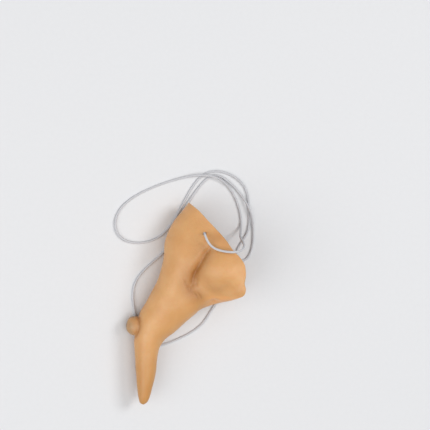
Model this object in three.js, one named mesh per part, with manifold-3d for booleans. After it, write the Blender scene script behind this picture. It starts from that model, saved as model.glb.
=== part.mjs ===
// Witch nose for fancy dress: a hollow soft-vinyl nose with a hooked tip and a wart, on a thin elastic.
// Millimetres, +Z up. The nose lies on its right side, as it rests by itself, and its elastic lies in
// loose loops on the same surface. The origin is on that surface, at the middle of the nose's box.
import * as THREE from "three";
import { mergeVertices } from "three/addons/utils/BufferGeometryUtils.js";
import Module from "manifold-3d";

const wasm = await Module();
wasm.setup();

// Sizes of the nose. Its side view has x from the ridge towards the face, y up, and z to its left side.
const NOSE_LENGTH = 100; // from the top of the bridge down to the tip
const NOSE_DEPTH = 55; // what the tables' shares of x are shares of
const HALF_WIDTH = 15; // half of the width across the back, without the wings
const SIDE_START = 0.27; // where the sides' features start, from the middle, as a share of HALF_WIDTH
const WALL = 1.5; // the moulded vinyl's thickness
const WING_HEIGHT = 4.2; // how far each wing stands out from the side wall
const WING_RADIUS = 12;
const CREASE_DEPTH = 1.7; // the crease round the top and front of each wing
const CREASE_WIDTH = 2.3;
const HOLLOW_DEPTH = 1.1; // the soft hollow before each wing
const HOLLOW_RADIUS = 9;
const NOSTRIL_DEPTH = 2;
const NOSTRIL_RADIUS = 3.6;
const WART_RADIUS = 4.4;

// Sizes of the elastic and of what it passes through.
const ELASTIC = 1.1; // its diameter
const HOLE_CLEARANCE = 0.35; // round the elastic in its hole
const GAP = 0.3; // between a knot and the shell, and between a knot and the elastic's end
const KNOT_LENGTH = 3.2;
const KNOT_WIDTH = 3.4;
const TAIL_LENGTH = 4; // the elastic's end past its knot
const LYING = ELASTIC / 2 + 0.05; // the height of its middle where it lies on the surface
const UPPER_EXIT = 1.2; // how far the elastic stands out straight from the upper hole
const LOWER_EXIT = 0.3; // and from the lower one, where the surface is close

// How finely the faceted solids are made.
const SIDES = 60; // round the nose
const RINGS = 38; // from the rim to the tip, outside
const HOLLOW_RINGS = 31; // of these, those that the inside follows
const HOLE_SIDES = 12;
const KNOT_SIDES = 10;
const CORD_SIDES = 8;
const STEPS_PER_POINT = 2; // steps of the elastic's tube from one point of its route to the next
const SLOPE_SWEEPS = 60; // rounds that settle the slopes of the elastic's curve

// A table's rows as objects, by the names of its columns.
function table(columns, rows) {
  return rows.map((row) => Object.fromEntries(columns.map((name, i) => [name, row[i]])));
}

// The rim, from the top of the bridge round one side to the middle of the underside.
// x is a share of NOSE_DEPTH, y of NOSE_LENGTH and z of HALF_WIDTH.
const RIM = table(
  ["x", "y", "z"],
  [
    [0, 0, 0],
    [0.012, -0.006, 0.22],
    [0.042, -0.019, 0.41],
    [0.085, -0.039, 0.56],
    [0.155, -0.08, 0.69],
    [0.235, -0.126, 0.78],
    [0.333, -0.186, 0.88],
    [0.4, -0.238, 0.97],
    [0.455, -0.268, 1.03],
    [0.496, -0.302, 1.08],
    [0.508, -0.338, 1.1],
    [0.504, -0.368, 1.1],
    [0.492, -0.398, 1.08],
    [0.502, -0.428, 1.07],
    [0.492, -0.456, 0.98],
    [0.45, -0.47, 0.8],
    [0.41, -0.478, 0.6],
    [0.375, -0.486, 0.3],
    [0.365, -0.488, 0],
  ],
);

// Sections across the nose, from behind the rim to the tip. Its ends at the ridge and the underside
// are in the side view, half is its half width as a share of HALF_WIDTH, and widest is where on the
// way from ridge to underside it is widest. peak and square are the roundness of its two ends: 2 is an
// ellipse's, less is sharper and more is squarer. sweep is how far its sides lean back, as a share of
// NOSE_DEPTH.
const SECTIONS = table(
  ["ridgeX", "ridgeY", "underX", "underY", "half", "widest", "peak", "square", "sweep"],
  [
    [-0.134, -0.09, 0.29, -0.497, 0.93, 0.62, 2.1, 3.6, 0.13],
    [-0.207, -0.176, 0.19, -0.511, 0.86, 0.55, 2.2, 3, 0.07],
    [-0.229, -0.27, 0.104, -0.529, 0.78, 0.5, 2.2, 2.6, 0.03],
    [-0.274, -0.371, 0.049, -0.554, 0.71, 0.48, 2.2, 2.3, 0],
    [-0.368, -0.473, -0.045, -0.601, 0.64, 0.5, 2.1, 2.1, 0],
    [-0.46, -0.562, -0.134, -0.644, 0.57, 0.5, 2, 2, 0],
    [-0.491, -0.656, -0.221, -0.682, 0.48, 0.5, 2, 2, 0],
    [-0.489, -0.74, -0.275, -0.735, 0.4, 0.5, 2, 2, 0],
    [-0.476, -0.85, -0.293, -0.83, 0.345, 0.5, 2, 2, 0],
    [-0.462, -0.925, -0.325, -0.91, 0.265, 0.5, 2, 2, 0],
    [-0.451, -0.969, -0.357, -0.964, 0.185, 0.5, 2, 2, 0],
    [-0.44, -0.991, -0.38, -0.989, 0.11, 0.5, 2, 2, 0],
    [-0.411, -1, -0.411, -1, 0, 0.5, 2, 2, 0],
  ],
);

// The crease round each wing, in the side view. depth is a share of CREASE_DEPTH.
const CREASE = table(
  ["x", "y", "depth"],
  [
    [0.168, -0.2, 0.1],
    [0.143, -0.252, 0.8],
    [0.123, -0.29, 1],
    [0.082, -0.319, 1],
    [0.047, -0.351, 0.9],
    [0.035, -0.394, 0.6],
    [0.04, -0.43, 0.1],
  ],
);

// Places in the side view, in shares of NOSE_DEPTH and NOSE_LENGTH, and z in shares of HALF_WIDTH.
const WING = { x: 0.285, y: -0.336 };
const SOFT_HOLLOW = { x: 0.065, y: -0.435 };
const NOSTRIL = { x: 0.225, y: -0.505, z: 0.46 };
const WART = { x: -0.484, y: -0.61 };
const HOLE = { x: 0.142, y: -0.1535 };

// The elastic's route between its two holes, in the part's frame. It leaves the upper hole, crosses
// the rim, falls to the surface and lies there in loops, then passes under the nose to the lower hole.
const ROUTE = [
  [2.2, 34.2, 28.8],
  [4.4, 30.1, 29.6],
  [9, 27.4, 32.5],
  [16.5, 26.9, 34.9],
  [22.5, 29, 28],
  [27.8, 32.4, 8],
  [30.8, 38.5, 0.6],
  [25, 55.5, 0.6],
  [13, 62.6, 2.3],
  [-7, 60, 0.6],
  [-33.2, 46, 0.6],
  [-32.6, 32.8, 0.6],
  [-13, 32.2, 0.6],
  [2.8, 53.7, 0.6],
  [15.5, 64.6, 0.6],
  [31.8, 57.6, 0.6],
  [35, 44, 0.6],
  [33.8, 33, 0.6],
  [28.4, 23, 0.6],
  [31, 19.4, 0.6],
  [35.2, 22, 0.6],
  [37.3, 33.5, 0.6],
  [35, 44.6, 2.1],
  [29, 54.5, 0.6],
  [18.5, 62.4, 0.6],
  [10.2, 58.8, 0.6],
  [-5.2, 35.2, 0.6],
  [-10.6, 24.5, 0.6],
  [-25.2, 9.5, 0.6],
  [-23.9, -13, 0.6],
  [-22.3, -21.4, 0.6],
  [-15.5, -22.4, 0.6],
  [-5, -19.9, 0.6],
  [8.6, -13.1, 0.6],
  [14.4, -6, 0.6],
  [20.6, 3, 0.6],
  [24.6, 14, 0.6],
  [22.9, 26.2, 0.6],
  [13.9, 32.2, 0.6],
];

const smooth = (low, high, value) => THREE.MathUtils.smoothstep(value, low, high);

// The pair of numbers near the first one for which f is lowest, found by ever smaller steps.
function lowestPair(f, first) {
  const turns = 24;
  const [finestStep, leastGain] = [1e-6, 1e-9];
  let best = first;
  let lowest = f(...first);
  for (let step = 0.1; step > finestStep; ) {
    let next = null;
    for (let k = 0; k < turns; k++) {
      const angle = (k / turns) * 2 * Math.PI;
      const pair = [best[0] + step * Math.cos(angle), best[1] + step * Math.sin(angle)];
      const value = f(...pair);
      if (value < lowest - leastGain) [next, lowest] = [pair, value];
    }
    if (next) best = next;
    else step /= 2;
  }
  return best;
}

// Points spaced evenly along a curve through the given points.
function evenly(points, count) {
  const curve = new THREE.CatmullRomCurve3(points, false, "centripetal");
  curve.arcLengthDivisions = 400;
  return curve.getSpacedPoints(count);
}

// One side of a section, from the ridge to the underside.
function halfSection(row) {
  const ridge = new THREE.Vector3(row.ridgeX * NOSE_DEPTH, row.ridgeY * NOSE_LENGTH, 0);
  const under = new THREE.Vector3(row.underX * NOSE_DEPTH, row.underY * NOSE_LENGTH, 0);
  const across = under.clone().sub(ridge);
  const back = new THREE.Vector3(-across.y, across.x, 0).normalize();
  const steps = 48;
  const points = [];
  for (let i = 0; i <= steps; i++) {
    const angle = (Math.PI * i) / steps;
    const cos = Math.abs(Math.cos(angle));
    const sin = Math.abs(Math.sin(angle));
    const upper = angle <= Math.PI / 2;
    const power = 2 / (upper ? row.peak : row.square);
    const share = upper
      ? row.widest * (1 - cos ** power)
      : row.widest + (1 - row.widest) * cos ** power;
    const point = ridge.clone().addScaledVector(across, share);
    point.addScaledVector(back, row.sweep * NOSE_DEPTH * sin * sin);
    point.z = row.half * HALF_WIDTH * sin ** power;
    points.push(point);
  }
  return evenly(points, SIDES / 2);
}

const sections = [
  evenly(
    RIM.map((p) => new THREE.Vector3(p.x * NOSE_DEPTH, p.y * NOSE_LENGTH, p.z * HALF_WIDTH)),
    SIDES / 2,
  ),
  ...SECTIONS.slice(0, -1).map(halfSection),
];
const last = SECTIONS[SECTIONS.length - 1];
const tip = new THREE.Vector3(last.ridgeX * NOSE_DEPTH, last.ridgeY * NOSE_LENGTH, 0);
sections.push(sections[0].map(() => tip.clone()));

const lines = sections[0].map(
  (_, k) =>
    new THREE.CatmullRomCurve3(
      sections.map((s) => s[k]),
      false,
      "catmullrom",
      0.5,
    ),
);

function creaseDepth(x, y) {
  let deepest = 0;
  for (let i = 1; i < CREASE.length; i++) {
    const [a, b] = [CREASE[i - 1], CREASE[i]];
    const from = new THREE.Vector2(a.x * NOSE_DEPTH, a.y * NOSE_LENGTH);
    const to = new THREE.Vector2(b.x * NOSE_DEPTH, b.y * NOSE_LENGTH).sub(from);
    const offset = new THREE.Vector2(x, y).sub(from);
    const share = THREE.MathUtils.clamp(offset.dot(to) / to.lengthSq(), 0, 1);
    const away = offset.addScaledVector(to, -share).length();
    const depth = THREE.MathUtils.lerp(a.depth, b.depth, share);
    deepest = Math.max(deepest, depth * Math.exp(-((away / CREASE_WIDTH) ** 2)));
  }
  return deepest * CREASE_DEPTH;
}

// Moves a point of the plain outside by the wing, the crease, the soft hollow and the nostril there.
function withFeatures(p) {
  const side = Math.sign(p.z) * smooth(0, SIDE_START * HALF_WIDTH, Math.abs(p.z));
  const wing = Math.hypot(p.x - WING.x * NOSE_DEPTH, p.y - WING.y * NOSE_LENGTH) / WING_RADIUS;
  const dome = wing < 1 ? WING_HEIGHT * (1 - wing ** 2) ** 1.4 : 0;
  const hollow = Math.hypot(p.x - SOFT_HOLLOW.x * NOSE_DEPTH, p.y - SOFT_HOLLOW.y * NOSE_LENGTH);
  const soft = HOLLOW_DEPTH * Math.exp(-((hollow / HOLLOW_RADIUS) ** 2) * 2);
  p.z += side * (dome - creaseDepth(p.x, p.y) - soft);
  const nostril = Math.hypot(
    p.x - NOSTRIL.x * NOSE_DEPTH,
    p.y - NOSTRIL.y * NOSE_LENGTH,
    Math.abs(p.z) - NOSTRIL.z * HALF_WIDTH,
  );
  p.y += NOSTRIL_DEPTH * Math.exp(-((nostril / NOSTRIL_RADIUS) ** 2));
  return p;
}

// A point of the outside: along is 0 at the rim and 1 at the tip, round is 0 at the ridge, 0.5 under.
function outside(along, round) {
  const left = round <= 0.5;
  const at = (left ? round : 1 - round) * SIDES;
  const k = Math.min(Math.floor(at), SIDES / 2 - 1);
  const p = lines[k].getPoint(along).lerp(lines[k + 1].getPoint(along), at - k);
  if (!left) p.z = -p.z;
  return withFeatures(p);
}

function normalAt(along, round) {
  const step = 0.004; // of the way from rim to tip, and of the way round
  const [a, b] = [Math.max(along - step, 0), Math.min(along + step, 1)];
  const lengthwise = outside(b, round).sub(outside(a, round));
  const turn = (r) => (r + 1) % 1;
  const around = outside(along, turn(round + step)).sub(outside(along, turn(round - step)));
  return lengthwise.cross(around).normalize();
}

function inside(along, round) {
  return outside(along, round).addScaledVector(normalAt(along, round), -WALL);
}

// The place on the left side that is at x, y in the side view, and the surface's normal there.
function leftSideAt(x, y) {
  const off = (along, round) => {
    if (along < 0 || along > 1 || round < 0 || round > 0.5) return Infinity;
    const p = outside(along, round);
    return Math.hypot(p.x - x, p.y - y);
  };
  const [along, round] = lowestPair(off, [0.1, 0.25]);
  return { at: outside(along, round), out: normalAt(along, round) };
}

// The rings sit closer together towards the rim, where the wings are.
const ringAt = (i) => {
  const share = i / RINGS;
  return share * (0.62 + 0.38 * share);
};

function shellGeometry() {
  const points = [];
  const faces = [];
  const ring = (f, along) => {
    const first = points.length;
    for (let k = 0; k < SIDES; k++) points.push(f(along, k / SIDES));
    return first;
  };
  const strip = (a, b) => {
    for (let k = 0; k < SIDES; k++) {
      const next = (k + 1) % SIDES;
      const [p, q, r, t] = [a + k, a + next, b + next, b + k];
      const one = points[p].distanceTo(points[r]) < points[q].distanceTo(points[t]);
      faces.push(...(one ? [p, t, r, p, r, q] : [p, t, q, q, t, r]));
    }
  };
  const fan = (a, point, out) => {
    const apex = points.push(point) - 1;
    for (let k = 0; k < SIDES; k++) {
      const next = (k + 1) % SIDES;
      faces.push(a + (out ? k : next), apex, a + (out ? next : k));
    }
  };
  const outer = [];
  for (let i = 0; i < RINGS; i++) outer.push(ring(outside, ringAt(i)));
  const inner = [];
  for (let i = 0; i < HOLLOW_RINGS; i++) inner.push(ring(inside, ringAt(i)));
  for (let i = 1; i < outer.length; i++) strip(outer[i - 1], outer[i]);
  for (let i = 1; i < inner.length; i++) strip(inner[i], inner[i - 1]);
  strip(inner[0], outer[0]);
  fan(outer[outer.length - 1], tip.clone(), true);
  const end = inner[inner.length - 1];
  const middle = new THREE.Vector3();
  for (let k = 0; k < SIDES; k++) middle.addScaledVector(points[end + k], 1 / SIDES);
  fan(end, middle.lerp(tip, 0.1), false);
  const geometry = new THREE.BufferGeometry();
  geometry.setAttribute(
    "position",
    new THREE.Float32BufferAttribute(
      points.flatMap((p) => p.toArray()),
      3,
    ),
  );
  geometry.setIndex(faces);
  return geometry;
}

function toSolid(geometry) {
  const bare = geometry.clone();
  bare.deleteAttribute("normal");
  bare.deleteAttribute("uv");
  const merged = mergeVertices(bare, 1e-4);
  return new wasm.Manifold(
    new wasm.Mesh({
      numProp: 3,
      vertProperties: new Float32Array(merged.attributes.position.array),
      triVerts: new Uint32Array(merged.index.array),
    }),
  );
}

function toGeometry(solid) {
  const mesh = solid.getMesh();
  const geometry = new THREE.BufferGeometry();
  geometry.setAttribute("position", new THREE.BufferAttribute(new Float32Array(mesh.vertProperties), 3));
  geometry.setIndex(new THREE.BufferAttribute(new Uint32Array(mesh.triVerts), 1));
  return geometry;
}

const wart = new THREE.SphereGeometry(WART_RADIUS, 20, 12);
wart.translate(WART.x * NOSE_DEPTH, WART.y * NOSE_LENGTH, 0);

// The holes for the elastic, one in each side: each one's place and the surface's normal there.
const holes = [1, -1].map((side) => {
  const { at, out } = leftSideAt(HOLE.x * NOSE_DEPTH, HOLE.y * NOSE_LENGTH);
  const mirror = new THREE.Vector3(1, 1, side);
  return { at: at.multiply(mirror), out: out.multiply(mirror) };
});

const UPRIGHT = new THREE.Vector3(0, 1, 0);

function holeCutter({ at, out }) {
  const radius = ELASTIC / 2 + HOLE_CLEARANCE;
  const cutter = new THREE.CylinderGeometry(radius, radius, 4 * WALL, HOLE_SIDES);
  const turned = new THREE.Quaternion().setFromUnitVectors(UPRIGHT, out);
  return cutter.applyQuaternion(turned).translate(at.x, at.y, at.z);
}

function shellMesh() {
  let solid = toSolid(shellGeometry()).add(toSolid(wart));
  for (const hole of holes) solid = solid.subtract(toSolid(holeCutter(hole)));
  const vinyl = new THREE.MeshStandardMaterial({ color: "#d9a268", roughness: 0.5, metalness: 0 });
  const mesh = new THREE.Mesh(toGeometry(solid), vinyl);
  mesh.name = "nose_shell";
  return mesh;
}

const covered = new THREE.MeshStandardMaterial({ color: "#cfd0d6", roughness: 0.75, metalness: 0 });

// A stopper knot inside the shell, with the elastic's end past it. It lies along its hole's axis.
function knotMesh(name, { at, out }) {
  const thin = ELASTIC / 2;
  const wide = KNOT_WIDTH / 2;
  const profile = [new THREE.Vector2(0, 0)];
  const steps = 6;
  for (let i = 0; i <= steps; i++) {
    const angle = (Math.PI * i) / steps;
    const y = (KNOT_LENGTH * (1 - Math.cos(angle))) / 2;
    profile.push(new THREE.Vector2(thin + (wide - thin) * Math.sin(angle), y));
  }
  profile.push(new THREE.Vector2(thin, KNOT_LENGTH + TAIL_LENGTH));
  profile.push(new THREE.Vector2(0, KNOT_LENGTH + TAIL_LENGTH));
  const mesh = new THREE.Mesh(new THREE.LatheGeometry(profile, KNOT_SIDES), covered);
  mesh.name = name;
  mesh.quaternion.setFromUnitVectors(UPRIGHT, out.clone().negate());
  mesh.position.copy(at).addScaledVector(out, -WALL - GAP);
  return mesh;
}

function centreOfMass(geometry) {
  const points = pointsOf(geometry);
  const index = geometry.getIndex();
  const sum = new THREE.Vector3();
  let volume = 0;
  for (let i = 0; i < index.count; i += 3) {
    const [a, b, c] = [0, 1, 2].map((k) => points[index.getX(i + k)]);
    const share = a.dot(b.clone().cross(c)) / 6;
    volume += share;
    sum.addScaledVector(a.clone().add(b).add(c), share / 4);
  }
  return sum.divideScalar(volume);
}

function pointsOf(geometry) {
  const position = geometry.getAttribute("position");
  const point = (_, i) => new THREE.Vector3().fromBufferAttribute(position, i);
  return Array.from({ length: position.count }, point);
}

// The way down when the nose rests by itself: the direction in which it reaches least far from its
// centre of mass, near its right side.
function wayDown(geometry) {
  const points = pointsOf(geometry);
  const centre = centreOfMass(geometry);
  const leaning = (a, b) => new THREE.Vector3(a, b, -1).normalize();
  const reach = (a, b) => {
    const down = leaning(a, b);
    let furthest = -Infinity;
    for (const p of points) furthest = Math.max(furthest, p.dot(down));
    return furthest - centre.dot(down);
  };
  return leaning(...lowestPair(reach, [0, 0]));
}

// The nose's own frame, turned so that it rests on its right side, with its box over the origin.
function lyingNose() {
  const shell = shellMesh();
  const up = wayDown(shell.geometry).negate();
  const right = new THREE.Vector3(1, 0, 0).projectOnPlane(up).normalize();
  const ahead = up.clone().cross(right);
  const turned = new THREE.Matrix4().makeBasis(right, ahead, up).transpose();
  const box = new THREE.Box3().setFromPoints(pointsOf(shell.geometry).map((p) => p.applyMatrix4(turned)));
  const middle = box.getCenter(new THREE.Vector3());
  const group = new THREE.Group();
  group.quaternion.setFromRotationMatrix(turned);
  group.position.set(-middle.x, -middle.y, -box.min.z);
  group.add(shell, knotMesh("knot_left", holes[0]), knotMesh("knot_right", holes[1]));
  return group;
}

// A curve through the route's points that bends evenly, as an elastic does, and is no lower than the
// elastic lies. Its steps are as close together as the points are.
class Route extends THREE.Curve {
  constructor(points) {
    super();
    this.points = points;
    this.spans = points.slice(1).map((point, i) => Math.sqrt(point.distanceTo(points[i])));
    this.slopes = points.map(() => new THREE.Vector3());
    for (let sweep = 0; sweep < SLOPE_SWEEPS; sweep++) this.slopes.forEach((_, i) => this.fitSlope(i));
  }

  // Sets the slope at one point so that the bends before and after it are alike there.
  fitSlope(i) {
    const last = this.points.length - 1;
    const [before, after] = [this.spans[i - 1] ?? 0, this.spans[i] ?? 0];
    const slope = this.slopes[i].set(0, 0, 0);
    if (i > 0) {
      const rise = this.points[i].clone().sub(this.points[i - 1]).multiplyScalar(3 / before);
      slope.addScaledVector(rise.sub(this.slopes[i - 1]), i < last ? after : 1);
    }
    if (i < last) {
      const rise = this.points[i + 1].clone().sub(this.points[i]).multiplyScalar(3 / after);
      slope.addScaledVector(rise.sub(this.slopes[i + 1]), i > 0 ? before : 1);
    }
    slope.divideScalar(i > 0 && i < last ? 2 * (before + after) : 2);
  }

  getPoint(share, target = new THREE.Vector3()) {
    const at = share * this.spans.length;
    const i = Math.min(Math.floor(at), this.spans.length - 1);
    const part = at - i;
    const [start, end, span] = [this.points[i], this.points[i + 1], this.spans[i]];
    const turn = end.clone().sub(start);
    const leave = this.slopes[i].clone().multiplyScalar(span).sub(turn);
    const arrive = this.slopes[i + 1].clone().multiplyScalar(span).sub(turn);
    target.lerpVectors(start, end, part);
    target.addScaledVector(leave, part * (1 - part) ** 2);
    target.addScaledVector(arrive, -part * part * (1 - part));
    target.z = Math.max(target.z, LYING);
    return target;
  }

  getPointAt(share, target) {
    return this.getPoint(share, target);
  }

  getTangentAt(share, target) {
    return this.getTangent(share, target);
  }
}

// The elastic, from the inner end of one hole to that of the other.
function cordMesh(nose) {
  nose.updateMatrixWorld(true);
  const onHole = (hole, along) => nose.localToWorld(hole.at.clone().addScaledVector(hole.out, along));
  const points = [
    onHole(holes[0], -WALL),
    onHole(holes[0], UPPER_EXIT),
    ...ROUTE.map((p) => new THREE.Vector3(...p)),
    onHole(holes[1], LOWER_EXIT),
    onHole(holes[1], -WALL),
  ];
  const corner = (_, k) => {
    const angle = ((k + 0.5) / CORD_SIDES) * 2 * Math.PI;
    return new THREE.Vector2(Math.cos(angle), Math.sin(angle)).multiplyScalar(ELASTIC / 2);
  };
  const geometry = new THREE.ExtrudeGeometry(new THREE.Shape(Array.from({ length: CORD_SIDES }, corner)), {
    extrudePath: new Route(points),
    steps: (points.length - 1) * STEPS_PER_POINT,
    curveSegments: 1,
    bevelEnabled: false,
  });
  const mesh = new THREE.Mesh(geometry, covered);
  mesh.name = "elastic_cord";
  return mesh;
}

const nose = lyingNose();
const model = new THREE.Group();
model.add(nose, cordMesh(nose));

export default model;
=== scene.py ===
"""A witch nose for fancy dress: hooked, hollow soft vinyl with a wart, on a thin covered elastic.

It lies on its right side on a pale floor, with the elastic in loose loops beside and under it.
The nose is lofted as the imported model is, more finely and with its finer folds, in millimetres in
its own frame: x from the ridge towards the face, y up the nose and z to its left side.
"""
import math
import bpy
import numpy as np
from bpy.props import FloatProperty, FloatVectorProperty, PointerProperty
from mathutils import Matrix, Vector


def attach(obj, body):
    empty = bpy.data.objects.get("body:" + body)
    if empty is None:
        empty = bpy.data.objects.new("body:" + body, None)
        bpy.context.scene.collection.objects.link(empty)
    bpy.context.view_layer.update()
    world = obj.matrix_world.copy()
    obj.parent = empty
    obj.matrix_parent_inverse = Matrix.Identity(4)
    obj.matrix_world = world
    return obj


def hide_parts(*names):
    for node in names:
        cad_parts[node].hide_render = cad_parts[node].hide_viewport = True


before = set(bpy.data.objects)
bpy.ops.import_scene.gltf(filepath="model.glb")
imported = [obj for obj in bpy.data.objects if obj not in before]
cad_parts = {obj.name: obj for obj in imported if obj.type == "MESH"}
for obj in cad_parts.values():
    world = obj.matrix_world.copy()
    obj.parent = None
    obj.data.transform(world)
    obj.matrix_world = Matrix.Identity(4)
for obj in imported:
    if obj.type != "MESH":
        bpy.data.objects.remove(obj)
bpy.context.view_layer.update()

bl_info = {
    "name": "Witch nose",
    "version": (1, 0, 0),
    "blender": (4, 5, 0),
    "location": "3D View > Sidebar > Witch nose",
    "description": "Makes a soft-vinyl witch nose with its elastic, knots and stage",
    "category": "Object",
}

MM = 0.001

# The nose's own frame, as it lies: its three axes and its origin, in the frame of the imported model.
# The part's source works these out, and the holes' places further down.
NOSE_RIGHT = np.array([0.94374, 0.0, 0.33069])
NOSE_UP = np.array([0.02202, 0.99778, -0.06286])
NOSE_SIDE = np.array([-0.32996, 0.0666, 0.94164])
NOSE_ORIGIN = np.array([-0.10599, 49.88898, 10.2927])

NOSE_LENGTH = 100.0
NOSE_DEPTH = 55.0
HALF_WIDTH = 15.0
WING_HEIGHT = 4.2
WING_RADIUS = 12.0
CREASE_DEPTH = 1.7
CREASE_WIDTH = 2.3
HOLLOW_DEPTH = 1.1
HOLLOW_RADIUS = 9.0
NOSTRIL_DEPTH = 2.0
NOSTRIL_RADIUS = 3.6
SIDE_START = 0.27

# The rim, from the top of the bridge round one side to the middle of the underside: x, y and z in
# shares of NOSE_DEPTH, NOSE_LENGTH and HALF_WIDTH.
RIM = np.array([
    (0, 0, 0),
    (0.012, -0.006, 0.22),
    (0.042, -0.019, 0.41),
    (0.085, -0.039, 0.56),
    (0.155, -0.08, 0.69),
    (0.235, -0.126, 0.78),
    (0.333, -0.186, 0.88),
    (0.4, -0.238, 0.97),
    (0.455, -0.268, 1.03),
    (0.496, -0.302, 1.08),
    (0.508, -0.338, 1.1),
    (0.504, -0.368, 1.1),
    (0.492, -0.398, 1.08),
    (0.502, -0.428, 1.07),
    (0.492, -0.456, 0.98),
    (0.45, -0.47, 0.8),
    (0.41, -0.478, 0.6),
    (0.375, -0.486, 0.3),
    (0.365, -0.488, 0),
])

# Sections across the nose, from behind the rim to the tip: the ridge's x and y, the underside's x
# and y, the half width, how far down it is widest, the roundness of the ridge and of the underside,
# and how far its sides lean back.
SECTIONS = [
    (-0.134, -0.09, 0.29, -0.497, 0.93, 0.62, 2.1, 3.6, 0.13),
    (-0.207, -0.176, 0.19, -0.511, 0.86, 0.55, 2.2, 3, 0.07),
    (-0.229, -0.27, 0.104, -0.529, 0.78, 0.5, 2.2, 2.6, 0.03),
    (-0.274, -0.371, 0.049, -0.554, 0.71, 0.48, 2.2, 2.3, 0),
    (-0.368, -0.473, -0.045, -0.601, 0.64, 0.5, 2.1, 2.1, 0),
    (-0.46, -0.562, -0.134, -0.644, 0.57, 0.5, 2, 2, 0),
    (-0.491, -0.656, -0.221, -0.682, 0.48, 0.5, 2, 2, 0),
    (-0.489, -0.74, -0.275, -0.735, 0.4, 0.5, 2, 2, 0),
    (-0.476, -0.85, -0.293, -0.83, 0.345, 0.5, 2, 2, 0),
    (-0.462, -0.925, -0.325, -0.91, 0.265, 0.5, 2, 2, 0),
    (-0.451, -0.969, -0.357, -0.964, 0.185, 0.5, 2, 2, 0),
    (-0.44, -0.991, -0.38, -0.989, 0.11, 0.5, 2, 2, 0),
]
TIP = (-0.411, -1.0)

# The crease round each wing in the side view, with its depth as a share of CREASE_DEPTH.
CREASE = [
    (0.21, -0.202, 0.2),
    (0.165, -0.244, 0.85),
    (0.125, -0.284, 1),
    (0.082, -0.319, 1),
    (0.047, -0.351, 0.9),
    (0.035, -0.394, 0.6),
    (0.04, -0.43, 0.1),
]
# Finer folds, each with its depth and its width in millimetres and its line in the side view, with
# the depth's share at each point: the crease's sharp upper and lower lines, a short one beside it,
# the soft one under the wing, and the wrinkles in the hollow.
FOLDS = [
    (0.6, 1.0, [
        (0.2, -0.212, 0.5), (0.163, -0.246, 1), (0.133, -0.273, 1), (0.105, -0.3, 0.9),
        (0.072, -0.336, 0.8), (0.05, -0.359, 0.4),
    ]),
    (0.7, 0.9, [(0.095, -0.31, 0.2), (0.05, -0.349, 0.9), (0.036, -0.384, 1), (0.034, -0.424, 0.2)]),
    (0.5, 0.8, [(0.086, -0.349, 0.1), (0.072, -0.374, 1), (0.068, -0.4, 1), (0.076, -0.42, 0.2)]),
    (0.35, 1.6, [
        (0.1, -0.33, 0.1), (0.135, -0.369, 0.6), (0.18, -0.41, 0.9), (0.225, -0.432, 1),
        (0.288, -0.427, 1), (0.36, -0.4, 0.7), (0.405, -0.36, 0.1),
    ]),
    (0.4, 0.55, [(-0.027, -0.4, 0.2), (-0.01, -0.422, 1), (0.004, -0.446, 0.2)]),
    (0.4, 0.55, [(0.002, -0.404, 0.2), (0.016, -0.43, 1), (0.032, -0.452, 0.2)]),
    (0.4, 0.6, [(0.04, -0.44, 0.2), (0.062, -0.456, 1), (0.084, -0.476, 0.2)]),
    (0.35, 0.5, [(-0.05, -0.37, 0.2), (-0.036, -0.392, 1), (-0.026, -0.412, 0.2)]),
    (0.35, 0.5, [(0.075, -0.44, 0.2), (0.1, -0.46, 1), (0.122, -0.484, 0.2)]),
]
# Painted shade beside the crease and down in the hollow: x, y and how much.
PAINTED_SHADE_CREASE_SIDE = [
    (0.175, -0.205, 0.5), (0.125, -0.25, 0.8), (0.075, -0.305, 0.8), (0.02, -0.35, 0.9),
    (-0.01, -0.395, 1), (0.02, -0.435, 1), (0.08, -0.465, 1), (0.11, -0.5, 0.4),
]
PAINTED_SHADE_CREASE_SIDE_WIDTH = 4.2
PAINTED_SHADE_CREASE_SIDE_WEIGHT = 0.62
# The same painted shade between the elastic and the rim, and painted shade on the side in front of the
# hollow.
PAINTED_SHADE_RIM_SIDE = [(0.18, -0.21, 0.7), (0.215, -0.178, 1), (0.28, -0.172, 1), (0.345, -0.2, 0.7)]
PAINTED_SHADE_RIM_SIDE_WIDTH = 3.2
PAINTED_SHADE_RIM_SIDE_WEIGHT = 0.42
# Painted shade on the side in front of the hollow, kept in the tip's tone.
PAINTED_SHADE_FRONT = [(-0.03, -0.47, 0.8), (-0.1, -0.525, 1), (-0.18, -0.62, 0.8)]
PAINTED_SHADE_FRONT_WIDTH = 6
PAINTED_SHADE_FRONT_WEIGHT = 0.4
# The other tones, each with how much of it shows, and in millimetres where it starts and is full.
# Painted shade down the crease and along each fold.
CREASE_SHADE = (0.45, 1.4)  # how much, and how many times as wide as the crease
FOLD_SHADE = (0.5, 1.2)
# The painted shade fades out towards the middle plane, over the ridge.
RIDGE_FADE = (1, 4)  # the groove's tone sets in between these distances from the middle plane
# Painted shade in the valley round the wart's foot.
WART_FOOT_SHADE = (0.6, 5.7, 1.6)  # how much, how far from the wart's middle, and how wide
WART_FOOT_FADE = (-30, -26)
# The wart's darker tone, deepened towards its outer end as painted shade.
WART_TONE_EDGE = (4.6, 5.4)
WART_TONE_FADE = (-25, -30)
# Darker towards the tip.
TIP_TONE = 0.85
TIP_TONE_FADE = (-66, -92)
# Painted glow on the strip that turns under the wing's lower edge.
PAINTED_GLOW_TONE = 0.9
PAINTED_GLOW_FADE = (-45.3, -47.3)
PAINTED_GLOW_START = (6, 12)
WING = (0.285, -0.336)
SOFT_HOLLOW = (0.065, -0.435)
NOSTRIL = (0.225, -0.505, 0.46)
WART = (-0.484, -0.61)

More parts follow.
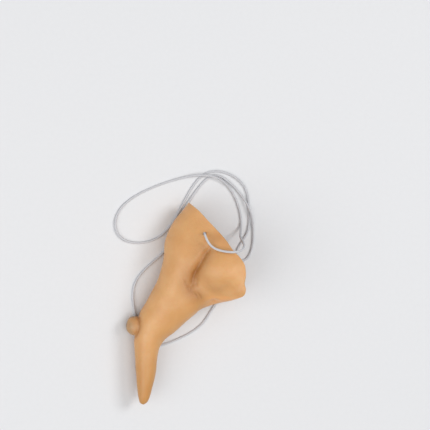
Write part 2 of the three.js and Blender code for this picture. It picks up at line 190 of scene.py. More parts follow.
# The elastic's route between its holes, on the floor and over the nose.
ROUTE = [
    (2.2, 34.2, 28.8), (4.4, 30.1, 29.6), (9, 27.4, 32.5), (16.5, 26.9, 34.9),
    (22.5, 29, 28), (27.8, 32.4, 8), (30.8, 38.5, 0.6), (25, 55.5, 0.6),
    (13, 62.6, 2.3), (-7, 60, 0.6), (-33.2, 46, 0.6), (-32.6, 32.8, 0.6),
    (-13, 32.2, 0.6), (2.8, 53.7, 0.6), (15.5, 64.6, 0.6), (31.8, 57.6, 0.6),
    (35, 44, 0.6), (33.8, 33, 0.6), (28.4, 23, 0.6), (31, 19.4, 0.6),
    (35.2, 22, 0.6), (37.3, 33.5, 0.6), (35, 44.6, 2.1), (29, 54.5, 0.6),
    (18.5, 62.4, 0.6), (10.2, 58.8, 0.6), (-5.2, 35.2, 0.6), (-10.6, 24.5, 0.6),
    (-25.2, 9.5, 0.6), (-23.9, -13, 0.6), (-22.3, -21.4, 0.6), (-15.5, -22.4, 0.6),
    (-5, -19.9, 0.6), (8.6, -13.1, 0.6), (14.4, -6, 0.6), (20.6, 3, 0.6),
    (24.6, 14, 0.6), (22.9, 26.2, 0.6), (13.9, 32.2, 0.6),
]
LYING = 0.6  # the height of the elastic's middle where it lies on the floor
UPPER_EXIT = 1.2  # how far it stands out straight from the upper hole
LOWER_EXIT = 0.3
HOLE_CLEARANCE = 0.35
# Each hole's place on the outside, and the way out of it, as the nose lies.
HOLES = {
    "left": (np.array([3.01, 35.36, 25.0]), np.array([-0.404, 0.299, 0.865])),
    "right": (np.array([10.84, 33.78, 2.68]), np.array([0.235, 0.17, -0.957])),
}

# Half of an overhand knot pulled tight: degrees round its axis, and the distance from the axis and the
# height along it in diameters of its elastic. The other half is the same, turned over.
HALF_KNOT = [
    (0, 1.35, 0), (30, 1.4, 0.4), (60, 1.6, 0.7), (85, 1.7, 1), (115, 1.55, 1.15),
    (145, 1.35, 1), (180, 1.05, 0.7), (215, 0.8, 0.15), (250, 0.65, -0.55), (265, 0.63, -1.35),
]
KNOT_SQUEEZE = 0.78  # a tight knot is narrower than its slack elastic would make it
KNOT_MIDDLE = 1.95  # from the inner wall to the knot's middle
KNOT_START = 0.6  # how far inside the wall the knot's own strand starts
KNOT_STRAIGHT = 0.1  # how far past the wall it goes on straight
TAIL = [(0.7, 0.15, 2.6), (1.05, 0.5, 4.2), (1.8, 0.9, 6.0)]  # past the knot, in diameters

# The wart, in millimetres where it isn't a share of its radius.
WART_LEAN = (-1.0, 0.12, 0)  # the way that it stands out
WART_ROOT = 0.9  # how deep under its middle its rays start
WART_REACH = 2.5  # how far out its rays look for its surface
WART_FACING = 0.3  # the cosine of how far its rays turn from the way that it stands out
WART_NEAR = 4  # how far from its root the skin can be its own
WART_FLATTENING = 0.98
WART_LUMPS = 0.2
WART_WAVES = (4.2, 3.4, 2.8, 2.3, 1.9)  # the lumps' lengths
WART_SEED = 3
WART_SEAM = (0.35, 0.1, 0.6)  # the fillet at its foot: height, place past its radius, and width
WART_VALLEY = (0.55, 1.4, 1.3)  # the valley round it: depth, place and width
HALVINGS = 26  # how often a ray's length is halved down to the wart's surface

SKIN_WAVES = (23.0, 17.0, 12.0, 8.5, 6.0)  # the lengths of the skin's slow unevenness
SKIN_SEED = 5
DOME_POWER = 1.4  # more makes the wing's dome more pointed

HALF_ROUND = 100  # steps round one side of the nose
SECTION_STEPS = 49  # points worked out on a section before it is spaced evenly
CURVE_STEPS = 401  # points that measure a curve before it is spaced evenly
RINGS = 230  # from the rim to the tip
RING_CROWDING = 0.38  # 0 spaces the rings evenly, and more crowds them towards the rim
INNER_RINGS = 110
HOLLOW_END = 0.726  # how far towards the tip the hollow goes
HOLLOW_LEAN = 0.1  # how far on towards the tip the middle of its end is moved
HOLLOW_BULGE = 0.12  # how far its round end reaches on from that middle to the tip
CLOSING_RINGS = 9
EDGE_BACK = 0.6  # how far the walls' first rings draw back from the rim, in its rounding
CORD_SIDES = 14
CORD_STEP = 0.45
ASKEW = (0.31, 0.87, 0.38)  # a way that no strand starts along

CAMERA_AIM = (12.87, -6.19, 0)  # in the nose's own frame
CAMERA_REACH = 20  # metres that the camera sees
FLOOR_HALF = 4  # metres
LIGHTS = (  # name, place, size and power
    ("key", (0.7, 0.35, 1.0), 0.5, 5.6),
    ("fill", (-1.0, -0.2, 0.9), 1.0, 8.0),
    ("top", (0.0, -0.15, 1.4), 0.8, 4.9),
)
ROOM_COLOUR = (0.95, 0.97, 1, 1)
ROOM_LIGHT = 0.37


def linear(code):
    """An sRGB hex colour as linear red, green and blue."""
    shares = [int(code[i : i + 2], 16) / 255 for i in (1, 3, 5)]
    return [v / 12.92 if v <= 0.04045 else ((v + 0.055) / 1.055) ** 2.4 for v in shares]


def length_of(vectors):
    return np.linalg.norm(vectors, axis=-1, keepdims=True)


def unit(vectors):
    return vectors / np.maximum(length_of(vectors), 1e-9)


def smooth(low, high, value):
    """A soft step from 0 at low to 1 at high, which may be the smaller of the two."""
    share = np.clip((value - low) / (high - low), 0, 1)
    return share * share * (3 - 2 * share)


def through(points, shares, even=False):
    """Places at these shares of the way along a curve through the points, or through rows of them."""
    padded = np.concatenate([2 * points[:1] - points[1:2], points, 2 * points[-1:] - points[-2:-1]])
    at = np.clip(shares, 0, 1) * (len(points) - 1)
    i = np.minimum(at.astype(int), len(points) - 2)
    w = (at - i).reshape(-1, *[1] * (points.ndim - 1))
    a, b, c, d = (padded[i + k] for k in range(4))
    if even:
        before, span, after = (np.maximum(length_of(v) ** 0.5, 1e-4) for v in (b - a, c - b, d - c))
        leave = ((b - a) / before - (c - a) / (before + span) + (c - b) / span) * span
        arrive = ((c - b) / span - (d - b) / (span + after) + (d - c) / after) * span
    else:
        leave, arrive = (c - a) / 2, (d - b) / 2
    bend = 3 * (c - b) - 2 * leave - arrive
    return b + leave * w + bend * w**2 + (2 * (b - c) + leave + arrive) * w**3


def evenly(points, count):
    """Evenly spaced places along a curve through the points."""
    shares = np.linspace(0, 1, CURVE_STEPS)
    run = np.r_[0, np.cumsum(length_of(np.diff(through(points, shares, True), axis=0)))]
    return through(points, np.interp(np.linspace(0, run[-1], count + 1), run, shares), True)


def half_section(row):
    """One side of a section, from the ridge to the underside."""
    ridge_x, ridge_y, under_x, under_y, half, widest, peak, square, sweep = row
    ridge = np.array([ridge_x * NOSE_DEPTH, ridge_y * NOSE_LENGTH, 0])
    across = np.array([under_x * NOSE_DEPTH, under_y * NOSE_LENGTH, 0]) - ridge
    back = unit(np.array([-across[1], across[0], 0]))
    angle = np.linspace(0, np.pi, SECTION_STEPS)
    cos, sin = np.abs(np.cos(angle)), np.abs(np.sin(angle))
    upper = angle <= np.pi / 2 + 1e-9
    power = np.where(upper, 2 / peak, 2 / square)
    share = np.where(upper, widest * (1 - cos**power), widest + (1 - widest) * cos**power)
    points = ridge + share[:, None] * across + (sweep * NOSE_DEPTH * sin**2)[:, None] * back
    points[:, 2] = half * HALF_WIDTH * sin**power
    return evenly(points, HALF_ROUND)


def line_depth(p, line, width):
    """How deep a fold along a line of the side view is at p, as a share of the fold's depth."""
    deepest = np.zeros(p.shape[:-1])
    size = np.array([NOSE_DEPTH, NOSE_LENGTH])
    for (ax, ay, a_depth), (bx, by, b_depth) in zip(line, line[1:]):
        start = np.array([ax, ay]) * size
        way = np.array([bx, by]) * size - start
        offset = p[..., :2] - start
        share = np.clip(offset @ way / (way @ way), 0, 1)
        away = np.linalg.norm(offset - share[..., None] * way, axis=-1)
        depth = a_depth + (b_depth - a_depth) * share
        deepest = np.maximum(deepest, depth * np.exp(-((away / width) ** 2)))
    return deepest


def near(p, place):
    """The distance from p to a place in the side view."""
    return np.hypot(p[..., 0] - place[0] * NOSE_DEPTH, p[..., 1] - place[1] * NOSE_LENGTH)


def unevenness(p, waves, seed):
    """A small unevenness of the moulded skin, between about -1 and 1, with waves this long."""
    draw = np.random.default_rng(seed)
    total = np.zeros(p.shape[:-1])
    for wave in waves:
        way = unit(draw.normal(size=3)) * 2 * np.pi / wave
        total += np.sin(p @ way + draw.uniform(0, 2 * np.pi)) * wave / sum(waves)
    return total


def with_features(plain, folds):
    """Moves the plain outside by the wing, the creases, the hollow and the nostril."""
    p = plain.copy()
    side = np.sign(p[..., 2]) * smooth(0, SIDE_START * HALF_WIDTH, np.abs(p[..., 2]))
    wing = np.clip(near(p, WING) / WING_RADIUS, 0, 1)
    dome = WING_HEIGHT * (1 - wing**2) ** DOME_POWER
    crease = CREASE_DEPTH * line_depth(p, CREASE, CREASE_WIDTH)
    soft = HOLLOW_DEPTH * np.exp(-((near(p, SOFT_HOLLOW) / HOLLOW_RADIUS) ** 2) * 2)
    moved = dome - crease - soft
    for depth, width, line in FOLDS if folds else ():
        moved = moved - depth * line_depth(p, line, width)
    p[..., 2] += side * moved
    nostril = np.sqrt(near(p, NOSTRIL) ** 2 + (np.abs(p[..., 2]) - NOSTRIL[2] * HALF_WIDTH) ** 2)
    p[..., 1] += NOSTRIL_DEPTH * np.exp(-((nostril / NOSTRIL_RADIUS) ** 2))
    return p


def grid_normals(grid):
    """The outward normals of a grid of rings that follow each other to the tip."""
    lengthwise = np.gradient(grid, axis=0)
    around = np.roll(grid, -1, axis=1) - np.roll(grid, 1, axis=1)
    return unit(np.cross(lengthwise, around))


def rings(sections, shares, folds):
    """Whole rings of the outside at these shares of the way from rim to tip."""
    left = through(sections, shares)
    right = left[:, -2:0:-1] * (1, 1, -1)
    return with_features(np.concatenate([left, right], axis=1), folds)


def with_wart(p, radius, squareness):
    """Pushes the skin out over a blunt wart on the ridge, with a narrow valley round it."""
    middle = np.array([WART[0] * NOSE_DEPTH, WART[1] * NOSE_LENGTH, 0])
    way_out = unit(np.array(WART_LEAN))
    root = middle - way_out * radius * WART_ROOT
    offset = p - root
    base = length_of(offset)[..., 0]
    ray = offset / np.maximum(base, 1e-9)[..., None]
    low, high = np.zeros_like(base), np.full_like(base, WART_REACH * radius)
    lumps = WART_LUMPS * unevenness(root + ray * radius, WART_WAVES, WART_SEED)
    up = np.array([way_out[1], -way_out[0], 0])
    for _ in range(HALVINGS):
        tried = (low + high) / 2
        away = root + ray * tried[..., None] - middle
        parts = np.abs(np.stack([away @ way_out, away @ up * WART_FLATTENING,
                                 away[..., 2] * WART_FLATTENING], axis=-1))
        size = (parts**squareness).sum(axis=-1) ** (1 / squareness) + lumps
        low, high = np.where(size < radius, tried, low), np.where(size < radius, high, tried)
    facing = (ray @ way_out > WART_FACING) & (base < WART_NEAR * radius)
    dome = np.where(facing, low, 0)
    past_edge = length_of(p - middle)[..., 0] - radius
    seam, valley = (height * np.exp(-(((past_edge - place) / width) ** 2))
                    for height, place, width in (WART_SEAM, WART_VALLEY))
    far = np.where(facing, np.maximum(base, dome) + seam - valley, base)
    return root + ray * far[..., None]


def stood(points):
    """Points of the nose's own frame where the nose lies, in metres."""
    axes = np.stack([NOSE_RIGHT, NOSE_UP, NOSE_SIDE])
    return (points @ axes + NOSE_ORIGIN) * MM


def own_frame(points):
    """Points in metres back in the nose's own frame."""
    axes = np.stack([NOSE_RIGHT, NOSE_UP, NOSE_SIDE])
    return (points / MM - NOSE_ORIGIN) @ axes.T


def new_object(name, points, faces, materials):
    mesh = bpy.data.meshes.new(name)
    mesh.from_pydata([tuple(p) for p in points], [], faces)
    mesh.validate()
    mesh.shade_smooth()
    for material in materials:
        mesh.materials.append(material)
    made = bpy.data.objects.new(name, mesh)
    bpy.context.scene.collection.objects.link(made)
    return made


def node(tree, kind, settings=(), links=()):
    """Adds a node, gives its settings and sockets their values, and links its inputs."""
    made = tree.nodes.new(kind)
    for key, value in dict(settings).items():
        if isinstance(key, str) and hasattr(made, key):
            setattr(made, key, value)
        else:
            made.inputs[key].default_value = value
    for key, source in dict(links).items():
        tree.links.new(source, made.inputs[key])
    return made


def new_material(name):
    material = bpy.data.materials.new(name)
    material.use_nodes = True
    tree = material.node_tree
    tree.nodes.clear()
    return material, tree


def finish_material(tree, surface):
    node(tree, "ShaderNodeOutputMaterial", links={"Surface": surface.outputs["BSDF"]})


def mixed(tree, share, first, second):
    """A colour between two; each of them, and the share, is a value or another node's output."""
    made = node(tree, "ShaderNodeMix", {"data_type": "RGBA"})
    for socket, value in ((0, share), (6, first), (7, second)):
        if hasattr(value, "is_linked"):
            tree.links.new(value, made.inputs[socket])
        elif socket == 0:
            made.inputs[socket].default_value = value
        else:
            made.inputs[socket].default_value = (*value, 1)
    return made.outputs[2]


def vinyl_outside(look):
    """Plasticised PVC, slush-moulded from flesh paste, satin, with a mist of darker spray."""
    # It gives the eye a warm, slightly see-into skin: soft edges to its shadows, broad satin
    # highlights that break up on a fine leathery grain, and a browner painted shade down in the
    # creases.
    material, tree = new_material("soft_vinyl_slush_moulded")
    place = node(tree, "ShaderNodeTexCoord").outputs["Object"]
    # Cloudy tone of the spray, patches about 9 mm wide, and a finer mottle of 1.6 mm.
    cloud = node(tree, "ShaderNodeTexNoise", {"Scale": 1 / (9 * MM), "Detail": 3.0, "Roughness": 0.5},
                 {"Vector": place})
    mottle = node(tree, "ShaderNodeTexNoise", {"Scale": 1 / (1.6 * MM), "Detail": 2.0},
                  {"Vector": place})
    cloudy = node(tree, "ShaderNodeMapRange", {"From Min": 0.35, "From Max": 0.65},
                  {"Value": cloud.outputs["Fac"]})
    speck = node(tree, "ShaderNodeMapRange", {"From Min": 0.3, "From Max": 0.75, "To Max": 0.3},
                 {"Value": mottle.outputs["Fac"]})
    colour = mixed(tree, cloudy.outputs[0], look.skin, look.skin_warm)
    colour = mixed(tree, speck.outputs[0], colour, look.skin_warm)
    # Painted shade in the creases and hollows, a painted glow under the wing, and the tip's and the
    # wart's darker tones, each by the share kept in its attribute.
    for name in ("flush", "tip", "painted_shade", "wart"):
        share = node(tree, "ShaderNodeAttribute", {"attribute_name": name}).outputs["Fac"]
        colour = mixed(tree, share, colour, getattr(look, name))
    # The grain of the mould: soft pebbles 0.9 mm across, as coarse as they need to show.
    grain = node(tree, "ShaderNodeTexVoronoi",
                 {"feature": "SMOOTH_F1", "Scale": 1 / (0.9 * MM), "Smoothness": 0.6},
                 {"Vector": place})
    relief = node(tree, "ShaderNodeMath", {"operation": "MULTIPLY_ADD", 1: 0.5},
                  {0: grain.outputs["Distance"], 2: mottle.outputs["Fac"]})
    bump = node(tree, "ShaderNodeBump", {"Strength": 0.5, "Distance": 0.2 * MM},
                {"Height": relief.outputs[0]})
    gloss = node(tree, "ShaderNodeMapRange", {"From Min": 0.3, "From Max": 0.7, "To Min": 0.36,
                                              "To Max": 0.5}, {"Value": mottle.outputs["Fac"]})
    surface = node(tree, "ShaderNodeBsdfPrincipled",
                   {"IOR": 1.53, "Subsurface Weight": 0.22, "Subsurface Radius": (1.0, 0.45, 0.22),
                    "Subsurface Scale": 1.6 * MM},
                   {"Base Color": colour, "Roughness": gloss.outputs[0],
                    "Normal": bump.outputs[0]})
    finish_material(tree, surface)
    return material


def vinyl_inside(look):
    """The same PVC's free side, which touched no mould: smoother, glossier and unsprayed."""
    # It gives the eye a paler, wetter look with slow ripples where the paste ran as it set.
    material, tree = new_material("soft_vinyl_inside")
    place = node(tree, "ShaderNodeTexCoord").outputs["Object"]
    ripple = node(tree, "ShaderNodeTexNoise", {"Scale": 1 / (5 * MM), "Detail": 1.0},
                  {"Vector": place})
    colour = mixed(tree, ripple.outputs["Fac"], look.inside, look.skin)
    bump = node(tree, "ShaderNodeBump", {"Strength": 0.35, "Distance": 0.4 * MM},
                {"Height": ripple.outputs["Fac"]})
    gloss = node(tree, "ShaderNodeMapRange", {"To Min": 0.25, "To Max": 0.42},
                 {"Value": ripple.outputs["Fac"]})
    surface = node(tree, "ShaderNodeBsdfPrincipled",
                   {"IOR": 1.53, "Subsurface Weight": 0.22, "Subsurface Radius": (1.0, 0.45, 0.22),
                    "Subsurface Scale": 1.6 * MM},
                   {"Base Color": colour, "Roughness": gloss.outputs[0],
                    "Normal": bump.outputs[0]})
    finish_material(tree, surface)
    return material


def braided_elastic(look):
    """Rubber thread covered with textured polyester yarn, braided both ways round it."""
    # It gives the eye a soft pale grey line with fine slanting ribs and a faint silky sheen.
    material, tree = new_material("elastic_braided_polyester")
    spread = node(tree, "ShaderNodeUVMap", {"uv_map": "run"}).outputs["UV"]
    parts = node(tree, "ShaderNodeSeparateXYZ", links={"Vector": spread})
    ribs = []
    # Yarns cross every 0.9 mm along the elastic, six each way round it, coarser than real ones.
    for way in (1, -1):
        slant = node(tree, "ShaderNodeMath", {"operation": "MULTIPLY", 1: way * 6 * 2 * math.pi},
                     {0: parts.outputs["Y"]})
        turn = node(tree, "ShaderNodeMath", {"operation": "MULTIPLY_ADD", 1: 2 * math.pi / 0.9},
                    {0: parts.outputs["X"], 2: slant.outputs[0]})
        ribs.append(node(tree, "ShaderNodeMath", {"operation": "SINE"}, {0: turn.outputs[0]}))
    crossed = node(tree, "ShaderNodeMath", {"operation": "MAXIMUM"},
                   {0: ribs[0].outputs[0], 1: ribs[1].outputs[0]})
    share = node(tree, "ShaderNodeMapRange", {"From Min": -0.4, "From Max": 1.0},
                 {"Value": crossed.outputs[0]})
    colour = mixed(tree, share.outputs[0], look.between, look.cover)
    bump = node(tree, "ShaderNodeBump", {"Strength": 0.6, "Distance": 0.08 * MM},
                {"Height": share.outputs[0]})
    surface = node(tree, "ShaderNodeBsdfPrincipled",
                   {"IOR": 1.5, "Roughness": 0.72, "Sheen Weight": 0.25, "Sheen Roughness": 0.4},
                   {"Base Color": colour, "Normal": bump.outputs[0]})
    finish_material(tree, surface)
    return material


def paper_floor(look):
    """Seamless studio paper: matt, with hardly any grain."""
    # It gives the eye an even pale ground that takes soft shadows.
    material, tree = new_material("floor_studio_paper")
    place = node(tree, "ShaderNodeTexCoord").outputs["Object"]
    fibre = node(tree, "ShaderNodeTexNoise", {"Scale": 1 / (2 * MM), "Detail": 2.0},
                 {"Vector": place})
    shade = tuple(0.97 * v for v in look.floor)
    colour = mixed(tree, fibre.outputs["Fac"], shade, look.floor)
    surface = node(tree, "ShaderNodeBsdfPrincipled", {"Roughness": 0.9, "Specular IOR Level": 0.2},
                   {"Base Color": colour})
    finish_material(tree, surface)
    return material


def settled_curve(points, step):
    """A curve through the points that bends evenly, as an elastic does, at steps this long."""
    points = np.asarray(points, float)
    spans = length_of(np.diff(points, axis=0)) ** 0.5
    slopes = np.diff(points, axis=0) / spans
    count = len(points)
    bends, sums = np.zeros((count, count)), np.zeros((count, 3))
    bends[0, :2], sums[0] = (2, 1), 3 * slopes[0]
    bends[-1, -2:], sums[-1] = (1, 2), 3 * slopes[-1]
    for i in range(1, count - 1):
        before, after = spans[i - 1, 0], spans[i, 0]
        bends[i, i - 1 : i + 2] = after, 2 * (before + after), before
        sums[i] = 3 * (after * slopes[i - 1] + before * slopes[i])
    settled = np.linalg.solve(bends, sums)
    runs = []
    for i in range(count - 1):
        start, end = points[i], points[i + 1]
        leave, arrive = settled[i] * spans[i], settled[i + 1] * spans[i]
        steps = max(int(math.ceil(spans[i, 0] ** 2 / step)), 2)
        w = (np.arange(steps) / steps)[:, None]
        bend = 3 * (end - start) - 2 * leave - arrive
        runs.append(start + leave * w + bend * w**2 + (2 * (start - end) + leave + arrive) * w**3)
    return np.concatenate([*runs, points[-1:]])


def tube(name, centres, diameter, material):
    """A round tube along the centres, in millimetres, with its run and its turn kept as a UV map."""
    ways = unit(np.gradient(centres, axis=0))
    across = [unit(np.cross(ways[0], ASKEW))]
    for way in ways[1:]:
        across.append(unit(across[-1] - (across[-1] @ way) * way))
    across = np.array(across)
    other = np.cross(ways, across)
    turn = np.arange(CORD_SIDES) / CORD_SIDES * 2 * np.pi
    spokes = across[:, None] * np.cos(turn)[:, None] + other[:, None] * np.sin(turn)[:, None]
    points = (centres[:, None] + spokes * (diameter / 2)).reshape(-1, 3)
    run = np.r_[0, np.cumsum(length_of(np.diff(centres, axis=0)))]
    faces, spread = [], []
    for i in range(len(centres) - 1):
        for k in range(CORD_SIDES):
            n = (k + 1) % CORD_SIDES
            faces.append([i * CORD_SIDES + k, i * CORD_SIDES + n,
                          (i + 1) * CORD_SIDES + n, (i + 1) * CORD_SIDES + k])
            u, v = k / CORD_SIDES, (k + 1) / CORD_SIDES
            spread += [(run[i], u), (run[i], v), (run[i + 1], v), (run[i + 1], u)]
    last = (len(centres) - 1) * CORD_SIDES
    for first, back in ((0, True), (last, False)):
        ring = list(range(first, first + CORD_SIDES))
        faces.append(ring[::-1] if back else ring)
        spread += [(run[0 if back else -1], 0.5)] * CORD_SIDES
    made = new_object(name, points * MM, faces, [material])
    layer = made.data.uv_layers.new(name="run")
    layer.data.foreach_set("uv", np.array(spread).ravel())
    made.data.set_sharp_from_angle(angle=math.radians(50))
    return made


class NoseSizes(bpy.types.PropertyGroup):
    wall: FloatProperty(name="Wall", description="Thickness of the moulded vinyl",
                        default=1.5 * MM, unit="LENGTH")
    wart: FloatProperty(name="Wart", description="Radius of the wart", default=4.4 * MM,
                        unit="LENGTH")
    wart_squareness: FloatProperty(name="Wart squareness", default=2.6,
                                   description="2 is a ball, and more is blunter")
    uneven: FloatProperty(name="Unevenness", description="How uneven the skin is",
                          default=0.12 * MM, unit="LENGTH")
    edge: FloatProperty(name="Edge rounding", description="Rounding of the trimmed rim",
                        default=0.25 * MM, unit="LENGTH")


class ElasticSizes(bpy.types.PropertyGroup):
    diameter: FloatProperty(name="Diameter", description="Diameter of the elastic",
                            default=1.1 * MM, unit="LENGTH")
    length: FloatProperty(name="Length", description="Length of the elastic from hole to hole",
                          default=0.5399, unit="LENGTH")


class NoseColours(bpy.types.PropertyGroup):
    skin: FloatVectorProperty(name="Skin", description="The vinyl's own colour", subtype="COLOR",
                              default=linear("#dca86f"))
    skin_warm: FloatVectorProperty(name="Warm skin", description="Where the spray lies thicker",
                                   subtype="COLOR", default=linear("#d59e64"))
    # Painted glow on the strip that turns under the wing.
    flush: FloatVectorProperty(name="Flush", description="The strip that turns under the wing",
                               subtype="COLOR", default=linear("#e9aa69"))
    # Darker towards the tip, and painted shade on the side in front of the hollow.
    tip: FloatVectorProperty(name="Tip", description="Where the spray is thickest", subtype="COLOR",
                             default=linear("#c58d4e"))
    # Painted shade down in the creases, the hollows and round the wart's foot.
    painted_shade: FloatVectorProperty(name="Groove", description="Down in the creases",
                                subtype="COLOR", default=linear("#a46a30"))
    # The wart's darker tone, deepened towards its outer end as painted shade.
    wart: FloatVectorProperty(name="Wart", description="The end of the wart", subtype="COLOR",
                              default=linear("#a8865f"))
    inside: FloatVectorProperty(name="Inside", description="The unsprayed inside",
                                subtype="COLOR", default=linear("#e0b48a"))
    cover: FloatVectorProperty(name="Elastic", description="The elastic's cover",
                               subtype="COLOR", default=linear("#dadadc"))
    between: FloatVectorProperty(name="Elastic, between yarns", subtype="COLOR",
                                 description="The shade between the cover's yarns",
                                 default=linear("#aaa9ae"))
    floor: FloatVectorProperty(name="Floor", description="The studio paper", subtype="COLOR",
                               default=linear("#e2e2e3"))


class CameraSizes(bpy.types.PropertyGroup):
    distance: FloatProperty(name="Distance", description="From the camera to the nose's middle plane",
                            default=1.1, unit="LENGTH")
    lens: FloatProperty(name="Lens", description="Focal length in millimetres on a 36 mm sensor",
                        default=186.05)


class NOSE_OT_camera(bpy.types.Operator):
    """Sets the camera square to the nose's side view, as in the photograph"""
    bl_idname = "witch_nose.camera"
    bl_label = "Camera"

    def execute(self, context):
        sizes = context.scene.witch_camera
        camera = bpy.data.objects.new("camera", bpy.data.cameras.new("camera"))
        context.scene.collection.objects.link(camera)
        camera.data.sensor_width = 36
        camera.data.lens = sizes.lens
        camera.data.clip_end = CAMERA_REACH
        aim = stood(np.array(CAMERA_AIM))
        eye = aim + NOSE_SIDE * sizes.distance
        turned = Matrix((NOSE_RIGHT, NOSE_UP, NOSE_SIDE)).transposed().to_4x4()
        camera.matrix_world = Matrix.Translation(Vector(eye)) @ turned
        context.scene.camera = camera
        return {"FINISHED"}


class NOSE_OT_elastic(bpy.types.Operator):
    """Makes the elastic from hole to hole and the knot on each of its ends"""
    bl_idname = "witch_nose.elastic"
    bl_label = "Elastic and knots"

    def execute(self, context):
        sizes = context.scene.witch_elastic
        diameter = sizes.diameter / MM
        wall = context.scene.witch_nose.wall / MM
        cover = braided_elastic(context.scene.witch_colours)
        (left, left_out), (right, right_out) = HOLES["left"], HOLES["right"]
        route = [left - left_out * wall, left + left_out * UPPER_EXIT, *ROUTE,
                 right + right_out * LOWER_EXIT, right - right_out * wall]
        centres = settled_curve(route, CORD_STEP)
        centres[:, 2] = np.maximum(centres[:, 2], LYING)
        elastic = tube("elastic_covered", centres, diameter, cover)
        knots = [self.knot(side, diameter, wall, cover) for side in HOLES]
        for piece, replaced in zip((elastic, *knots), ("elastic_cord", "knot_left", "knot_right")):
            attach(piece, "root")
            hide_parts(replaced)
        return {"FINISHED"}

    def knot(self, side, diameter, wall, cover):
        place, out = HOLES[side]
        along = -out
        across = unit(np.cross(along, (0, 1, 0)))
        other = np.cross(along, across)
        middle = place + along * (wall + KNOT_MIDDLE)
        scale = diameter * KNOT_SQUEEZE
        turn, reach, height = np.array(HALF_KNOT).T
        turn = np.radians(turn)
        half = np.stack([reach * np.sin(turn), reach * np.cos(turn), height], axis=1)
        line = np.concatenate([half[::-1], half[1:] * (-1, 1, -1), TAIL])
        tied = middle + scale * line @ np.stack([across, other, along])
        start = [place + along * (wall - KNOT_START), place + along * (wall + KNOT_STRAIGHT)]
        return tube(f"knot_{side}_tied", settled_curve([*start, *tied], CORD_STEP / 2), diameter,
                    cover)


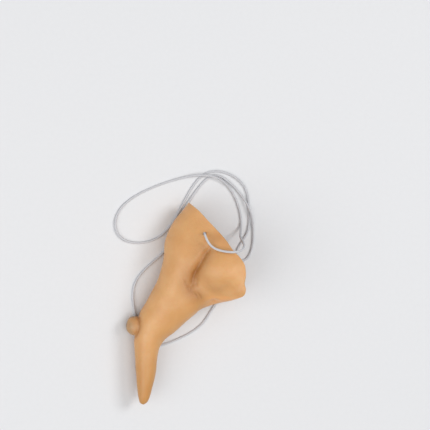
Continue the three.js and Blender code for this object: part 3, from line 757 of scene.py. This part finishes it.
class NOSE_OT_shell(bpy.types.Operator):
    """Makes the hollow vinyl nose with its creases, wart, trimmed rim and two punched holes"""
    bl_idname = "witch_nose.shell"
    bl_label = "Vinyl nose"

    def execute(self, context):
        sizes, colours = context.scene.witch_nose, context.scene.witch_colours
        wall, edge = sizes.wall / MM, sizes.edge / MM
        tip = np.array([TIP[0] * NOSE_DEPTH, TIP[1] * NOSE_LENGTH, 0])
        rim = evenly(RIM * (NOSE_DEPTH, NOSE_LENGTH, HALF_WIDTH), HALF_ROUND)
        sections = np.stack([rim, *[half_section(row) for row in SECTIONS],
                             np.repeat(tip[None], HALF_ROUND + 1, axis=0)])
        share = np.arange(RINGS) / RINGS
        outer = rings(sections, share * (1 - RING_CROWDING + RING_CROWDING * share), True)
        normals = grid_normals(outer)
        slow = unevenness(outer, SKIN_WAVES, SKIN_SEED)
        outer += normals * (slow * 2 * sizes.uneven / MM)[..., None]
        outer = with_wart(outer, sizes.wart / MM, sizes.wart_squareness)
        inner = rings(sections, np.linspace(0, HOLLOW_END, INNER_RINGS), False)
        inner = inner - grid_normals(inner) * wall
        inward = unit(inner[0] - outer[0])
        lips = [outer[0] + inward * edge, inner[0] - inward * edge]
        outer[0] += unit(outer[1] - outer[0]) * edge * EDGE_BACK
        inner[0] += unit(inner[1] - inner[0]) * edge * EDGE_BACK
        end, apex = inner[-1], inner[-1].mean(axis=0) * (1 - HOLLOW_LEAN) + tip * HOLLOW_LEAN
        bulge = (tip - apex) * HOLLOW_BULGE
        closing = [apex + (end - apex) * math.cos(a) + bulge * math.sin(a)
                   for a in np.linspace(0, math.pi / 2, CLOSING_RINGS)[1:-1]]
        grid = [*closing[::-1], *inner[::-1], *lips[::-1], *outer]
        made = self.skinned(grid, apex + bulge, tip, len(closing) + INNER_RINGS, colours)
        self.punch(made, context.scene.witch_elastic.diameter / MM, wall)
        self.tones(made)
        made.data.set_sharp_from_angle(angle=math.radians(55))
        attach(made, "root")
        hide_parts("nose_shell")
        return {"FINISHED"}

    def skinned(self, grid, inner_end, tip, inner_rings, colours):
        """One closed skin from the hollow's end out over the rim to the tip."""
        around = len(grid[0])
        points = np.concatenate([*grid, inner_end[None], tip[None]])
        faces = []
        for i in range(len(grid) - 1):
            for k in range(around):
                n = (k + 1) % around
                faces.append([i * around + k, (i + 1) * around + k, (i + 1) * around + n,
                              i * around + n])
        last = (len(grid) - 1) * around
        for k in range(around):
            n = (k + 1) % around
            faces.append([len(points) - 2, k, n])
            faces.append([last + k, len(points) - 1, last + n])
        placed = stood(points)
        placed[:, 2] = np.maximum(placed[:, 2], 0)
        made = new_object("nose_moulded", placed, faces,
                          [vinyl_outside(colours), vinyl_inside(colours)])
        inside = np.zeros(len(faces), int)
        inside[: inner_rings * around] = 1
        inside[(len(grid) - 1) * around :: 2] = 1
        made.data.polygons.foreach_set("material_index", inside)
        return made

    def punch(self, made, diameter, wall):
        """Punches the elastic's two holes through the walls."""
        for place, out in HOLES.values():
            ways = np.linspace(-2 * wall, 2 * wall, 3)[:, None] * out
            cutter = tube("punch", place + ways, diameter + 2 * HOLE_CLEARANCE,
                          made.data.materials[0])
            cut = made.modifiers.new("punch", "BOOLEAN")
            cut.operation, cut.solver, cut.object = "DIFFERENCE", "EXACT", cutter
            bpy.context.view_layer.update()
            evaluated = made.evaluated_get(bpy.context.evaluated_depsgraph_get())
            mesh = bpy.data.meshes.new_from_object(evaluated)
            made.modifiers.clear()
            made.data = mesh
            bpy.data.objects.remove(cutter)

    def tones(self, made):
        """Keeps at each point its share of the painted shade, the wart's tone, the tip's tone and the
        painted glow.
        """
        places = np.empty(len(made.data.vertices) * 3)
        made.data.vertices.foreach_get("co", places)
        p = own_frame(places.reshape(-1, 3))
        # Painted shade down the crease, beside it and in the hollow, between the elastic and the rim
        # and along each fold, but not over the ridge.
        painted_shade = CREASE_SHADE[0] * line_depth(p, CREASE, CREASE_WIDTH * CREASE_SHADE[1])
        for weight, line, width in ((PAINTED_SHADE_CREASE_SIDE_WEIGHT, PAINTED_SHADE_CREASE_SIDE, PAINTED_SHADE_CREASE_SIDE_WIDTH),
                                    (PAINTED_SHADE_RIM_SIDE_WEIGHT, PAINTED_SHADE_RIM_SIDE, PAINTED_SHADE_RIM_SIDE_WIDTH)):
            painted_shade = np.maximum(painted_shade, weight * line_depth(p, line, width))
        for depth, width, line in FOLDS:
            painted_shade += FOLD_SHADE[0] * depth * line_depth(p, line, width * FOLD_SHADE[1])
        painted_shade *= smooth(*RIDGE_FADE, np.abs(p[:, 2]))
        # Painted shade round the foot of the wart, on the body's own side of the ridge, and over the
        # wart its darker tone, which painted shade deepens towards its outer end.
        from_wart = np.hypot(near(p, WART), p[:, 2])
        weight, place, width = WART_FOOT_SHADE
        foot = weight * np.exp(-(((from_wart - place) / width) ** 2))
        painted_shade = np.maximum(painted_shade, foot * smooth(*WART_FOOT_FADE, p[:, 0]))
        wart = (1 - smooth(*WART_TONE_EDGE, from_wart)) * smooth(*WART_TONE_FADE, p[:, 0])
        # Darker down towards the tip, with painted shade on the side in front of the hollow, and a
        # painted glow under the wing's lower edge.
        spray = PAINTED_SHADE_FRONT_WEIGHT * line_depth(p, PAINTED_SHADE_FRONT, PAINTED_SHADE_FRONT_WIDTH)
        tip = np.maximum(TIP_TONE * smooth(*TIP_TONE_FADE, p[:, 1]), spray)
        flush = PAINTED_GLOW_TONE * smooth(*PAINTED_GLOW_FADE, p[:, 1]) * smooth(*PAINTED_GLOW_START, p[:, 0])
        for name, share in (("painted_shade", painted_shade), ("wart", wart), ("tip", tip), ("flush", flush)):
            layer = made.data.attributes.new(name, "FLOAT", "POINT")
            layer.data.foreach_set("value", np.clip(share, 0, 1))


class NOSE_OT_stage(bpy.types.Operator):
    """Lays the pale floor and sets the soft studio lights"""
    bl_idname = "witch_nose.stage"
    bl_label = "Floor and lights"

    def execute(self, context):
        corners = [(x * FLOOR_HALF, y * FLOOR_HALF, 0) for x, y in ((-1, -1), (1, -1), (1, 1), (-1, 1))]
        floor = new_object("floor", corners, [[0, 1, 2, 3]],
                           [paper_floor(context.scene.witch_colours)])
        for name, place, size, power in LIGHTS:
            light = bpy.data.objects.new(name, bpy.data.lights.new(name, "AREA"))
            light.data.size = size
            light.data.energy = power
            light.location = place
            light.rotation_euler = (-Vector(place)).to_track_quat("-Z", "Y").to_euler()
            context.scene.collection.objects.link(light)
        world = bpy.data.worlds.new("studio")
        world.use_nodes = True
        background = world.node_tree.nodes["Background"]
        background.inputs["Color"].default_value = ROOM_COLOUR
        background.inputs["Strength"].default_value = ROOM_LIGHT
        context.scene.world = world
        context.scene.view_settings.view_transform = "Standard"
        return {"FINISHED"}


OPERATORS = (NOSE_OT_camera, NOSE_OT_elastic, NOSE_OT_shell, NOSE_OT_stage)


class NOSE_PT_panel(bpy.types.Panel):
    """Lists the makers of the witch nose in the sidebar"""
    bl_label = "Witch nose"
    bl_space_type = "VIEW_3D"
    bl_region_type = "UI"
    bl_category = "Witch nose"

    def draw(self, context):
        for operator in OPERATORS:
            self.layout.operator(operator.bl_idname)


GROUPS = {"witch_nose": NoseSizes, "witch_elastic": ElasticSizes, "witch_colours": NoseColours,
          "witch_camera": CameraSizes}


def register():
    for name, group in GROUPS.items():
        bpy.utils.register_class(group)
        setattr(bpy.types.Scene, name, PointerProperty(type=group))
    for made in (*OPERATORS, NOSE_PT_panel):
        bpy.utils.register_class(made)


def unregister():
    for made in (NOSE_PT_panel, *reversed(OPERATORS)):
        bpy.utils.unregister_class(made)
    for name, group in GROUPS.items():
        delattr(bpy.types.Scene, name)
        bpy.utils.unregister_class(group)


def main():
    register()
    for operator in OPERATORS:
        group, name = operator.bl_idname.split(".")
        getattr(getattr(bpy.ops, group), name)()


if __name__ == "__main__":
    main()
